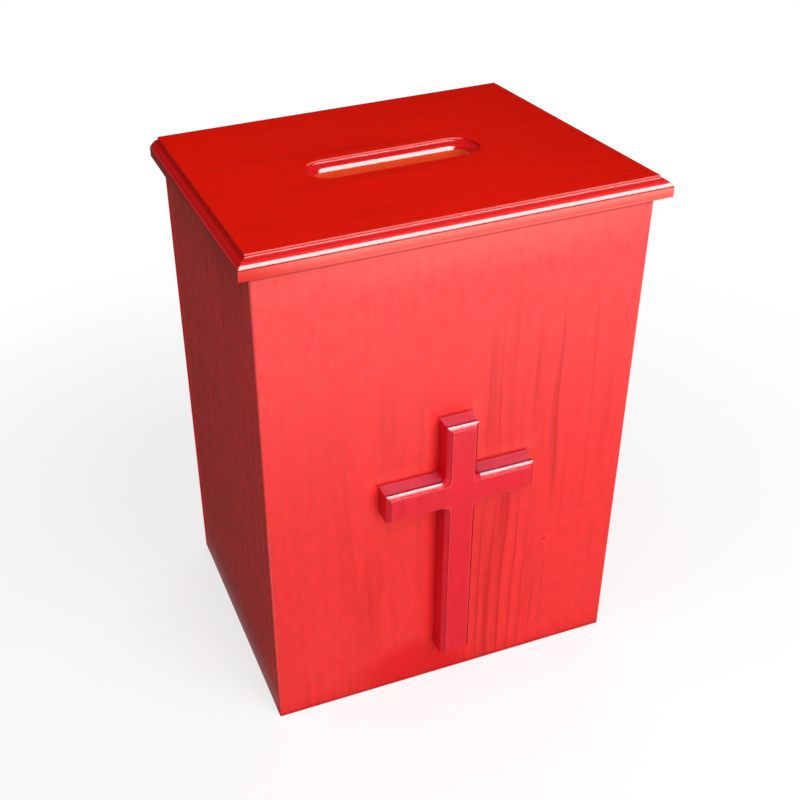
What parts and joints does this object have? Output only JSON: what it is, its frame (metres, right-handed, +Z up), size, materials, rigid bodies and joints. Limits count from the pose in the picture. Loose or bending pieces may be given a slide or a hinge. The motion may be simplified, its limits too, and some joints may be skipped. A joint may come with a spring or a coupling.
{
  "type": "donation box",
  "caption": "Lockable wooden donation box with an overhanging moulded lid, an oval money slot, a raised cross on the front and a hinged rear door.",
  "frame": {"origin": "middle of the walls' footprint, on the surface that the box stands on", "axes": "+Z up; -Y towards someone who faces the cross; +X to that person's right"},
  "size_m": [0.318, 0.2797, 0.425],
  "materials": {
    "stained_pine": "red stain under satin lacquer",
    "bare_pine": "planed, unfinished",
    "plywood": "sanded, unfinished",
    "brass": "satin",
    "zinc_steel": "zinc plated",
    "nickel": "bright nickel plate"
  },
  "bodies": {
    "root": {"front_panel": "stained_pine", "left_side_panel": "stained_pine", "right_side_panel": "stained_pine", "back_left_stile": "stained_pine", "back_right_stile": "stained_pine", "back_top_rail": "stained_pine", "back_bottom_rail": "stained_pine", "lid_board": "stained_pine", "cross": "stained_pine", "corner_batten_front_left": "bare_pine", "corner_batten_front_right": "bare_pine", "corner_batten_back_left": "bare_pine", "corner_batten_back_right": "bare_pine", "lid_cleat_left": "bare_pine", "lid_cleat_right": "bare_pine", "door_stop_upper": "bare_pine", "door_stop_lower": "bare_pine", "back_frame_dowels": "bare_pine", "bottom_board": "plywood", "hinge_upper_frame_leaf": "brass", "hinge_lower_frame_leaf": "brass", "hinge_upper_pin": "brass", "hinge_lower_pin": "brass", "hinge_frame_screws": "brass", "lid_screws": "zinc_steel", "cleat_screws": "zinc_steel", "bottom_screws": "zinc_steel", "cross_screws": "zinc_steel", "door_stop_screws": "zinc_steel"},
    "door": {"rear_door": "stained_pine", "hinge_upper_door_leaf": "brass", "hinge_lower_door_leaf": "brass", "hinge_door_screws": "brass", "lock_housing": "nickel", "lock_nut": "zinc_steel"},
    "lock": {"lock_plug": "nickel", "lock_cam": "zinc_steel", "lock_cam_washer": "zinc_steel", "lock_cam_screw": "zinc_steel"},
    "key": {"key": "nickel"}
  },
  "joints": [
    {"name": "door_hinge", "type": "hinge", "parent": "root", "child": "door", "pos_m": [0.109, 0.121, 0.205], "axis": [0, 0, -1], "range_deg": [0, 180]},
    {"name": "lock_turn", "type": "hinge", "parent": "door", "child": "lock", "pos_m": [-0.085, 0.1, 0.205], "axis": [0, 1, 0], "range_deg": [0, 90]},
    {"name": "key_withdraw", "type": "slide", "parent": "lock", "child": "key", "axis": [0, 1, 0], "range_m": [0, 0.022]}
  ]
}
